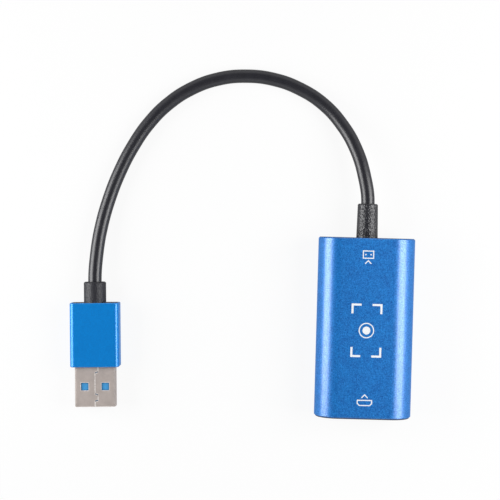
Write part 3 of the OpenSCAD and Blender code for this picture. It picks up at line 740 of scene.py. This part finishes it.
@dataclass(frozen=True)
class LeadSet(Finish):
    """Insulated leads, each with a colour of its own."""

    colours: tuple[Colour, ...]
    gloss: Span = (0.34, 0.48)
    grain_scale: float = 4800.0
    depth: float = 0.006 * MM

    def mix(self, bench: FinishBench) -> None:
        """Wires one colour to each separate lead.

        Args:
            bench: Bench of the new material.
        """
        surface = bench.place("ShaderNodeNewGeometry")
        ramp = bench.place("ShaderNodeValToRGB", {0: surface.outputs["Random Per Island"]})
        stops = ramp.color_ramp
        stops.interpolation = "CONSTANT"
        stops.elements[0].color = rgba(self.colours[0])
        stops.elements[1].color = rgba(self.colours[-1])
        stops.elements[1].position = (len(self.colours) - 1) / len(self.colours)
        for index, colour in enumerate(self.colours[1:-1], start=1):
            stops.elements.new(index / len(self.colours)).color = rgba(colour)
        grain = bench.effect(Effect.GRAIN, Scale=self.grain_scale)["Grain"]
        bench.set(Base_Color=ramp.outputs[0], Roughness=bench.spread(grain, to=self.gloss))
        bench.emboss(grain, self.depth)


@dataclass(frozen=True)
class PrintInk(Finish):
    """Screen-printed ink with a slightly uneven cover."""

    ink: Colour
    thin: Colour
    cover: Span = (0.0, 0.3)
    gloss: Span = (0.45, 0.6)
    grain_scale: float = 3400.0
    depth: float = 0.006 * MM

    def mix(self, bench: FinishBench) -> None:
        """Wires the ink's cover over the blasted metal.

        Args:
            bench: Bench of the new material.
        """
        grain = bench.effect(Effect.GRAIN, Scale=self.grain_scale)
        covered = bench.spread(grain["Grain"], self.cover)
        tone = bench.blend(covered, rgba(self.thin), rgba(self.ink))
        bench.set(Base_Color=tone, Roughness=bench.spread(grain["Patches"], to=self.gloss))
        bench.emboss(grain["Grain"], self.depth)


CASE_BLUE = AnodisedMetal(
    name="case_blue_blasted",
    dye=(0.002, 0.29, 0.84),
    shade=(0.0004, 0.07, 0.34),
    bare_and_highlight=(0.3, 0.45, 0.7),
    metal_share=0.36,
    gloss=(0.42, 0.5),
    skin=(0.1, 0.34),
    skin_gloss=0.29,
    grain_scale=3200.0,
    depth=0.01 * MM,
)
SLEEVE_BLUE = AnodisedMetal(
    name="sleeve_blue_satin",
    dye=(0.001, 0.29, 0.83),
    shade=(0.0004, 0.19, 0.61),
    bare_and_highlight=(0.3, 0.5, 0.72),
    metal_share=0.25,
    gloss=(0.28, 0.34),
    skin=(0.08, 0.1),
    skin_gloss=0.23,
    grain_scale=4200.0,
    depth=0.002 * MM,
)
CAP_BLACK = MouldedPlastic(
    name="cap_black_sparked",
    colour=(0.012, 0.012, 0.013),
    rubbed_and_highlight=(0.03, 0.03, 0.032),
    gloss=(0.42, 0.58),
    stipple_scale=5200.0,
    depth=0.012 * MM,
)
BOOT_BLACK = MouldedPlastic(
    name="boot_black_stippled",
    colour=(0.009, 0.009, 0.013),
    rubbed_and_highlight=(0.062, 0.062, 0.075),
    gloss=(0.2, 0.46),
    stipple_scale=2150.0,
    depth=0.08 * MM,
    ior=1.6,
)
PLUG_BOOT_BLACK = MouldedPlastic(
    name="plug_boot_black_matt",
    colour=(0.012, 0.012, 0.0175),
    rubbed_and_highlight=(0.026, 0.026, 0.034),
    gloss=(0.42, 0.6),
    stipple_scale=2600.0,
    depth=0.045 * MM,
)
JACKET_BLACK = CableJacket(
    name="jacket_black_satin",
    colour=(0.013, 0.013, 0.0178),
    bloom=(0.022, 0.022, 0.029),
    gloss=(0.27, 0.35),
    depth=0.008 * MM,
    ior=1.6,
)
NICKEL = PlatedSheet(
    name="nickel_plated_sheet",
    colour=(0.555, 0.488, 0.456),
    dull=(0.44, 0.385, 0.358),
    bright_edge_highlight=(0.96, 0.92, 0.89),
    gloss=(0.42, 0.56),
    depth=0.014 * MM,
    along=2600.0,
    across=3200.0,
    rim=0.25 * MM,
    metal_share=0.4,
    fold_share=0.1,
    # Painted shade on the bends.
    fold_shade=0.5,
    # Painted highlight on the edges, partly wear.
    wear_and_highlight_share=1.0,
)
GOLD = PlatedSheet(
    name="gold_plated_contact",
    colour=(0.75, 0.48, 0.16),
    dull=(0.62, 0.4, 0.14),
    bright_edge_highlight=(0.85, 0.66, 0.36),
    gloss=(0.18, 0.3),
    depth=0.002 * MM,
)
SOLDER = PlatedSheet(
    name="solder_fillet",
    colour=(0.62, 0.62, 0.64),
    dull=(0.46, 0.46, 0.48),
    bright_edge_highlight=(0.78, 0.78, 0.8),
    gloss=(0.2, 0.42),
    depth=0.006 * MM,
    along=2600.0,
)
INSULATOR_BLUE = MouldedPlastic(
    name="insulator_blue_moulded",
    colour=(0.05, 0.31, 0.66),
    rubbed_and_highlight=(0.09, 0.38, 0.72),
    gloss=(0.36, 0.46),
    stipple_scale=5200.0,
    depth=0.005 * MM,
    # Painted shade in its corners and recesses, around the windows' rims.
    corner=0.9,
)
INSULATOR_BLACK = MouldedPlastic(
    name="insulator_black_moulded",
    colour=(0.011, 0.011, 0.012),
    rubbed_and_highlight=(0.02, 0.02, 0.021),
    gloss=(0.32, 0.44),
    stipple_scale=5600.0,
    depth=0.004 * MM,
)
BOARD_GREEN = SolderMask(
    name="board_green_mask",
    mask=(0.012, 0.1, 0.045),
    track=(0.035, 0.2, 0.09),
    track_pitch=0.5 * MM,
)
LEADS = LeadSet(
    name="lead_insulation",
    colours=(
        (0.55, 0.03, 0.02),
        (0.012, 0.012, 0.013),
        (0.6, 0.6, 0.58),
        (0.03, 0.3, 0.06),
        (0.04, 0.1, 0.45),
        (0.62, 0.5, 0.05),
        (0.55, 0.2, 0.03),
        (0.3, 0.08, 0.4),
        (0.35, 0.2, 0.1),
    ),
)
WHITE_INK = PrintInk(name="white_print", ink=(0.88, 0.9, 0.92), thin=(0.55, 0.65, 0.8))
TIN: Colour = (0.62, 0.62, 0.63)
RESIN: Colour = (0.012, 0.012, 0.013)
CERAMIC: Colour = (0.4, 0.26, 0.14)


def dress(piece: Piece, finish: Finish) -> None:
    """Gives a piece one finish and reports it.

    Args:
        piece: The piece, whose mesh isn't changed.
        finish: Its finish.
    """
    material = finish.material()
    if not piece.material_slots:
        piece.data.materials.append(material)
    for holder in piece.material_slots:
        holder.link = "OBJECT"
        holder.material = material
    LOG.info("%s is dressed in %s", piece.name, finish.name)


def add_piece(name: str, data: bpy.types.ID) -> Piece:
    """Adds an object to the scene.

    Args:
        name: The object's name.
        data: Its mesh, curve, lamp or camera.

    Returns:
        The new object.
    """
    piece = bpy.data.objects.new(name, data)
    bpy.context.scene.collection.objects.link(piece)
    return piece


@dataclass
class PhotoCamera:
    """Camera that looks down on the object as the photograph does."""

    position: Place = (-34.48 * MM, 26.46 * MM, 380 * MM)
    tilt: float = 0.0121
    roll: float = -0.0269
    image_px: float = 500.0
    focus_px: float = 1262.6
    sensor: float = 36.0
    clip: Span = (0.01, 20.0)

    def build(self) -> None:
        """Makes the camera and gives it to the scene."""
        lens = bpy.data.cameras.new("photo_camera")
        lens.sensor_width = self.sensor
        lens.lens = self.focus_px / self.image_px * self.sensor
        lens.clip_start, lens.clip_end = self.clip
        camera = add_piece("photo_camera", lens)
        turn = Matrix.Rotation(self.roll, 3, "Z") @ Matrix.Rotation(self.tilt, 3, "X")
        camera.matrix_world = Matrix.Translation(self.position) @ turn.transposed().to_4x4()
        bpy.context.scene.camera = camera


class Side(Enum):
    """Side of the object that a lamp stands on."""

    LEFT = -1
    RIGHT = 1


@dataclass
class Softbox:
    """Long soft lamp beside the object, low over the floor."""

    side: Side
    radiance: float
    elevation: float
    length: float
    height: float
    aim: Place
    distance: float = 0.32

    def build(self) -> None:
        """Makes the lamp and turns it to the object."""
        lamp = bpy.data.lights.new(f"softbox_{self.side.name.lower()}", "AREA")
        lamp.shape = "RECTANGLE"
        lamp.size = self.length
        lamp.size_y = self.height
        lamp.energy = self.radiance * math.pi * self.length * self.height
        box = add_piece(lamp.name, lamp)
        reach = self.distance * math.cos(self.elevation)
        rise = self.distance * math.sin(self.elevation)
        box.location = Vector(self.aim) + Vector((self.side.value * reach, 0.0, rise))
        box.rotation_euler = (Vector(self.aim) - box.location).to_track_quat("-Z", "Y").to_euler()
        box.visible_camera = False


@dataclass
class Studio:
    """White table, soft lamps and a pale surround."""

    floor_half: float = 3.0
    floor_drop: float = 0.02 * MM
    floor_white: Colour = (0.9, 0.9, 0.9)
    floor_gloss: Span = (0.6, 0.7)
    floor_grain: float = 700.0
    white_share: float = 0.9
    mirrored_white: float = 0.45
    fill: float = 0.2
    overhead: float = 0.1
    dome_edge: Span = (0.2, 0.85)
    lamps: tuple[Softbox, ...] = (
        Softbox(
            side=Side.LEFT,
            radiance=6.0,
            elevation=math.radians(24.6),
            length=0.24,
            height=0.235,
            aim=(-0.036, 0.04, 0.0),
        ),
        Softbox(
            side=Side.RIGHT,
            radiance=6.0,
            elevation=math.radians(38),
            length=0.22,
            height=0.21,
            aim=(-0.036, 0.03, 0.0),
        ),
    )

    def build(self) -> None:
        """Lights the scene and lays the floor."""
        bpy.context.scene.view_settings.view_transform = "Standard"
        for lamp in self.lamps:
            lamp.build()
        self.surround()
        self.floor()

    def seen(self, bench: NodeBench) -> tuple[Socket, Socket]:
        """Tells the camera's own rays and mirrored ones from the rest.

        Args:
            bench: Bench of the world's or the floor's tree.

        Returns:
            A mask of camera rays, and one of glossy and transmitted rays.
        """
        path = bench.place("ShaderNodeLightPath")
        mirrored = bench.math(
            "MAXIMUM", path.outputs["Is Glossy Ray"], path.outputs["Is Transmission Ray"]
        )
        return path.outputs["Is Camera Ray"], mirrored

    def surround(self) -> None:
        """Makes the pale world, dimmer overhead than at the horizon."""
        world = bpy.data.worlds.new("pale_surround")
        world.use_nodes = True
        bpy.context.scene.world = world
        bench = NodeBench(world.node_tree)
        bench.tree.nodes.clear()
        camera, mirrored = self.seen(bench)
        way = bench.place("ShaderNodeTexCoord").outputs["Generated"]
        rise = bench.place("ShaderNodeSeparateXYZ", {0: way}).outputs["Z"]
        dome = bench.spread(rise, self.dome_edge, (1.0, self.overhead))
        lit = bench.place("ShaderNodeMix", {0: mirrored, 2: self.fill, 3: dome}).outputs[0]
        strength = bench.place("ShaderNodeMix", {0: camera, 2: lit, 3: 1.0}).outputs[0]
        light = bench.place("ShaderNodeBackground", {"Strength": strength, "Color": rgba(WHITE)})
        bench.place("ShaderNodeOutputWorld", {"Surface": light.outputs[0]})

    def floor(self) -> None:
        """Lays the white table that the object rests on."""
        mesh = bpy.data.meshes.new("table_top")
        half, low = self.floor_half, -self.floor_drop
        corners = [(-half, -half, low), (half, -half, low), (half, half, low), (-half, half, low)]
        mesh.from_pydata(corners, [], [range(len(corners))])
        floor = add_piece("table_top", mesh)
        bench = FinishBench("table_white")
        camera, mirrored = self.seen(bench)
        patches = bench.effect(Effect.GRAIN, Scale=self.floor_grain)["Patches"]
        rough = bench.spread(patches, to=self.floor_gloss)
        bench.set(Base_Color=rgba(self.floor_white), Roughness=rough)
        strength = bench.spread(mirrored, to=(1.0, self.mirrored_white))
        glow = bench.place("ShaderNodeEmission", {"Color": rgba(WHITE), "Strength": strength})
        share = bench.math("MULTIPLY", bench.math("MAXIMUM", camera, mirrored), self.white_share)
        mixed = bench.place(
            "ShaderNodeMixShader", {0: share, 1: bench.shader.outputs[0], 2: glow.outputs[0]}
        )
        bench.place("ShaderNodeOutputMaterial", {"Surface": mixed.outputs[0]}).is_active_output = True
        mesh.materials.append(bench.material)


@dataclass
class CableRun:
    """Free cable between the case and the plug, with its strain reliefs and leads."""

    nodes: Nodes
    diameter: float = 4.0 * MM
    length: float = 143 * MM
    plug_turn: float = math.radians(2)
    end_pull: float = 3 * MM
    rim_steps: int = 10
    bend_steps: int = 12
    # Middle line of the cable from the case to the plug, in millimetres.
    route: tuple[Place, ...] = (
        (0, 36.5, 6.5),
        (-1.3, 45, 6.2),
        (-3.9, 52.8, 5),
        (-7.9, 59.7, 3.5),
        (-13.6, 65.9, 2.4),
        (-20.6, 70.3, 2),
        (-28.5, 73, 2),
        (-37, 73.8, 2),
        (-45.4, 72.7, 2),
        (-53.3, 69.6, 2),
        (-60, 65, 2),
        (-65.6, 59.1, 2),
        (-70.2, 52.1, 2),
        (-74.1, 44.1, 2),
        (-77, 36, 2.1),
        (-79, 28, 2.6),
        (-80.1, 20, 3.3),
        (-80.45, 11.2, 3.6),
    )
    carried: tuple[str, ...] = (
        "cable_boot",
        "cable_tail",
        "plug_boot",
        "plug_sleeve",
        "plug_core",
        "plug_shell",
        "plug_insulator",
        "plug_contacts",
        "plug_springs",
        "plug_tail",
        "plug_leads",
    )

    def build(self) -> Piece:
        """Lays the cable along its route as one smooth curve.

        Returns:
            The cable.
        """
        curve = bpy.data.curves.new("free_cable", "CURVE")
        curve.dimensions = "3D"
        curve.bevel_depth = 1.0
        curve.bevel_resolution = self.rim_steps
        curve.resolution_u = self.bend_steps
        curve.use_fill_caps = True
        spline = curve.splines.new("BEZIER")
        spline.bezier_points.add(len(self.route) - 1)
        for knot, place in zip(spline.bezier_points, self.route):
            knot.co = Vector(place) * MM
            knot.radius = self.diameter / 2
            knot.handle_left_type = knot.handle_right_type = "AUTO"
        heading_out = Vector((0.0, 1.0, 0.0))
        heading_in = Vector((math.sin(self.plug_turn), -math.cos(self.plug_turn), 0.0))
        ends = (spline.bezier_points[0], heading_out), (spline.bezier_points[-1], heading_in)
        for knot, heading in ends:
            knot.handle_left_type = knot.handle_right_type = "FREE"
            knot.handle_left = knot.co - heading * self.end_pull
            knot.handle_right = knot.co + heading * self.end_pull
        cable = add_piece("free_cable", curve)
        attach(cable, BODY)
        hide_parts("cable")
        return cable

    def dress(self, cable: Piece) -> None:
        """Gives the cable, its reliefs and its leads their finishes.

        Args:
            cable: The free cable.
        """
        dress(cable, JACKET_BLACK)
        dress(self.nodes["cable_tail"], JACKET_BLACK)
        dress(self.nodes["cable_boot"], BOOT_BLACK)
        dress(self.nodes["cable_leads"], LEADS)
        dress(self.nodes["solder_joints"], SOLDER)


class InkPlate:
    """Collects flat printed shapes and makes one thin mesh of them."""

    weld: float = 0.001 * MM

    def __init__(self) -> None:
        """Starts with a blank plate."""
        self.shapes: list[list[Point]] = []

    def stroke(self, points: Sequence[Point], width: float, closed: bool = False) -> None:
        """Draws a line with mitred corners.

        Args:
            points: Corners of the line.
            width: Its width.
            closed: Whether it runs back to its first point.
        """
        count = len(points)
        corners = [Vector(point) for point in points]
        left, right = [], []
        for index, corner in enumerate(corners):
            before = corners[index - 1] if closed or index else None
            after = corners[(index + 1) % count] if closed or index < count - 1 else None
            legs = (before and corner - before, after and after - corner)
            ways = [leg.normalized() for leg in legs if leg]
            sides = [Vector((-way.y, way.x)) for way in ways]
            mitre = sum(sides, Vector((0, 0))).normalized()
            offset = mitre * (width / 2 / mitre.dot(sides[0]))
            left.append(tuple(corner + offset))
            right.append(tuple(corner - offset))
        for index in range(count if closed else count - 1):
            after = (index + 1) % count
            self.shapes.append([left[index], right[index], right[after], left[after]])

    def disc(self, middle: Point, radius: float, steps: int = 32) -> None:
        """Draws a filled disc.

        Args:
            middle: Its centre.
            radius: Its radius.
            steps: Corners round it.
        """
        self.shapes.append(circle(middle, radius, steps))

    def mesh(self, name: str, low: float, high: float) -> bpy.types.Mesh:
        """Makes the thin mesh.

        Args:
            name: The mesh's name.
            low: Height of its underside.
            high: Height of its face.

        Returns:
            The mesh.
        """
        sheet = bmesh.new()
        for shape in self.shapes:
            sheet.faces.new([sheet.verts.new((x, y, low)) for x, y in shape])
        bmesh.ops.remove_doubles(sheet, verts=sheet.verts, dist=self.weld)
        raised = bmesh.ops.extrude_face_region(sheet, geom=list(sheet.faces))["geom"]
        lifted = [item for item in raised if isinstance(item, bmesh.types.BMVert)]
        bmesh.ops.translate(sheet, verts=lifted, vec=(0, 0, high - low))
        bmesh.ops.recalc_face_normals(sheet, faces=list(sheet.faces))
        mesh = bpy.data.meshes.new(name)
        sheet.to_mesh(mesh)
        sheet.free()
        return mesh


def circle(middle: Point, radius: float, steps: int) -> list[Point]:
    """Works out points round a circle.

    Args:
        middle: Its centre.
        radius: Its radius.
        steps: Number of points.

    Returns:
        The points in order.
    """
    angles = [2 * math.pi * step / steps for step in range(steps)]
    return [(middle[0] + radius * math.cos(a), middle[1] + radius * math.sin(a)) for a in angles]


@dataclass
class PrintedMarks:
    """Plain white pictograms on the top of the case."""

    top: float
    ink: float = 0.015 * MM
    bed: float = 0.005 * MM
    line: float = 0.3 * MM
    frame_half: Point = (4.2 * MM, 7.5 * MM)
    frame_arm: float = 2.6 * MM
    frame_line: float = 0.6 * MM
    frame_y: float = -0.5 * MM
    spot: float = 1.15 * MM
    ring: float = 2.1 * MM
    ring_steps: int = 48
    mark_y: float = 21.6 * MM
    socket_half: Point = (2.1 * MM, 0.75 * MM)
    socket_slant: float = 0.6 * MM
    plug_half: Point = (1.5 * MM, 1.05 * MM)
    contact_half: float = 0.27 * MM
    contact_steps: int = 4
    arrow_half: float = 0.9 * MM
    arrow_gap: float = 0.7 * MM

    def build(self) -> None:
        """Prints the three marks."""
        plates = {
            "capture_mark": self.viewfinder(),
            "input_mark": self.input_sign(),
            "output_mark": self.output_sign(),
        }
        for name, plate in plates.items():
            mesh = plate.mesh(name, self.top - self.bed, self.top + self.ink)
            piece = add_piece(name, mesh)
            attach(piece, BODY)
            dress(piece, WHITE_INK)

    def viewfinder(self) -> InkPlate:
        """Draws four corner brackets round a ring with a spot.

        Returns:
            The plate with the drawing.
        """
        plate = InkPlate()
        wide, long = self.frame_half
        for side in (-1, 1):
            for end in (-1, 1):
                x, y = side * wide, self.frame_y + end * long
                arm = self.frame_arm
                plate.stroke([(x - side * arm, y), (x, y), (x, y - end * arm)], self.frame_line)
        middle = (0.0, self.frame_y)
        plate.disc(middle, self.spot)
        plate.stroke(circle(middle, self.ring, self.ring_steps), self.line, closed=True)
        return plate

    def arrow(self, plate: InkPlate, y: float) -> None:
        """Draws an open arrow head towards the cable end.

        Args:
            plate: The plate to draw on.
            y: Place of its tip.
        """
        wing = self.arrow_half
        plate.stroke([(-wing, y - wing), (0.0, y), (wing, y - wing)], self.line)

    def input_sign(self) -> InkPlate:
        """Draws a socket's outline with an arrow that leads into the case.

        Returns:
            The plate with the drawing.
        """
        plate = InkPlate()
        wide, high = self.socket_half
        y = -self.mark_y
        step = self.socket_slant
        outline = [
            (-wide, y + high),
            (-wide, y - high + step),
            (-wide + step, y - high),
            (wide - step, y - high),
            (wide, y - high + step),
            (wide, y + high),
        ]
        plate.stroke(outline, self.line, closed=True)
        self.arrow(plate, y + high + self.arrow_gap + self.arrow_half)
        return plate

    def output_sign(self) -> InkPlate:
        """Draws a plug's outline with an arrow that leads out of the case.

        Returns:
            The plate with the drawing.
        """
        plate = InkPlate()
        wide, high = self.plug_half
        y = self.mark_y
        outline = [(-wide, y - high), (wide, y - high), (wide, y + high), (-wide, y + high)]
        plate.stroke(outline, self.line, closed=True)
        for side in (-1, 1):
            plate.disc((side * wide / 2, y), self.contact_half, self.contact_steps)
        self.arrow(plate, y - high - self.arrow_gap)
        return plate


@dataclass
class CaptureCase:
    """Extruded case with its end caps and printed marks."""

    nodes: Nodes

    def build(self) -> None:
        """Prints the marks on the case."""
        PrintedMarks(top=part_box("housing_tube")[1].z).build()

    def dress(self) -> None:
        """Gives the case and its caps their finishes."""
        dress(self.nodes["housing_tube"], CASE_BLUE)
        dress(self.nodes["input_cap"], CAP_BLACK)
        dress(self.nodes["output_cap"], CAP_BLACK)


@dataclass
class VideoSocket:
    """Socket in the input end of the case."""

    nodes: Nodes

    def dress(self) -> None:
        """Gives the socket's pieces their finishes."""
        finishes = {"shell": NICKEL, "insulator": INSULATOR_BLACK, "contacts": GOLD}
        for part, finish in finishes.items():
            dress(self.nodes[f"socket_{part}"], finish)


@dataclass
class BoardAssembly:
    """Circuit board with the components on it."""

    nodes: Nodes
    leg_reach: float = 1.0 * MM
    pad_reach: float = 0.05 * MM
    resistor_pitch: float = 1.45 * MM
    resistor_bare: float = 0.4 * MM
    capacitor_pitch: float = 3.4 * MM
    capacitor_bare: float = 0.64 * MM

    def package(self, name: str, reach_x: float, reach_y: float) -> ChipPackage:
        """Works out a component's finish from its place.

        Args:
            name: The component's node.
            reach_x: How far its legs stand out along X.
            reach_y: How far its legs stand out along Y.

        Returns:
            The finish.
        """
        low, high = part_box(name)
        middle, half = (low + high) / 2, (high - low) / 2
        body_half = (half.x - reach_x, half.y - reach_y, half.z)
        return ChipPackage(f"{name}_package", RESIN, TIN, tuple(middle), body_half)

    def dress(self) -> None:
        """Gives the board and its components their finishes."""
        dress(self.nodes["circuit_board"], BOARD_GREEN)
        for name, reach_x, reach_y in (
            ("capture_chip", self.pad_reach, self.pad_reach),
            ("flash_chip", 0.0, self.leg_reach),
            ("regulator", 0.0, self.leg_reach),
            ("inductor", 0.0, 0.0),
            ("surge_arrays", 0.0, 0.0),
        ):
            dress(self.nodes[name], self.package(name, reach_x, reach_y))
        dress(self.nodes["crystal"], SOLDER)
        resistors = CappedCeramic(
            "resistor_ceramic", RESIN, TIN, self.resistor_pitch, self.resistor_bare
        )
        capacitors = CappedCeramic(
            "capacitor_ceramic", CERAMIC, TIN, self.capacitor_pitch, self.capacitor_bare
        )
        dress(self.nodes["resistors"], resistors)
        dress(self.nodes["capacitors"], capacitors)


@dataclass
class DataPlug:
    """Plug at the far end of the cable."""

    nodes: Nodes

    def dress(self) -> None:
        """Gives the plug's pieces their finishes."""
        finishes = {
            "sleeve": SLEEVE_BLUE,
            "boot": PLUG_BOOT_BLACK,
            "core": CAP_BLACK,
            "shell": NICKEL,
            "insulator": INSULATOR_BLUE,
            "contacts": GOLD,
            "springs": GOLD,
            "tail": JACKET_BLACK,
            "leads": LEADS,
        }
        for part, finish in finishes.items():
            dress(self.nodes[f"plug_{part}"], finish)


def main() -> None:
    """Builds and dresses the object and its studio."""
    logging.basicConfig(level=logging.INFO, format="%(message)s")
    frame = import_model()
    nodes = frame["nodes"]
    PhotoCamera().build()
    cable_run = CableRun(nodes)
    cable_run.dress(cable_run.build())
    case = CaptureCase(nodes)
    case.build()
    for assembly in (case, VideoSocket(nodes), BoardAssembly(nodes), DataPlug(nodes)):
        assembly.dress()
    Studio().build()


if __name__ == "__main__":
    main()
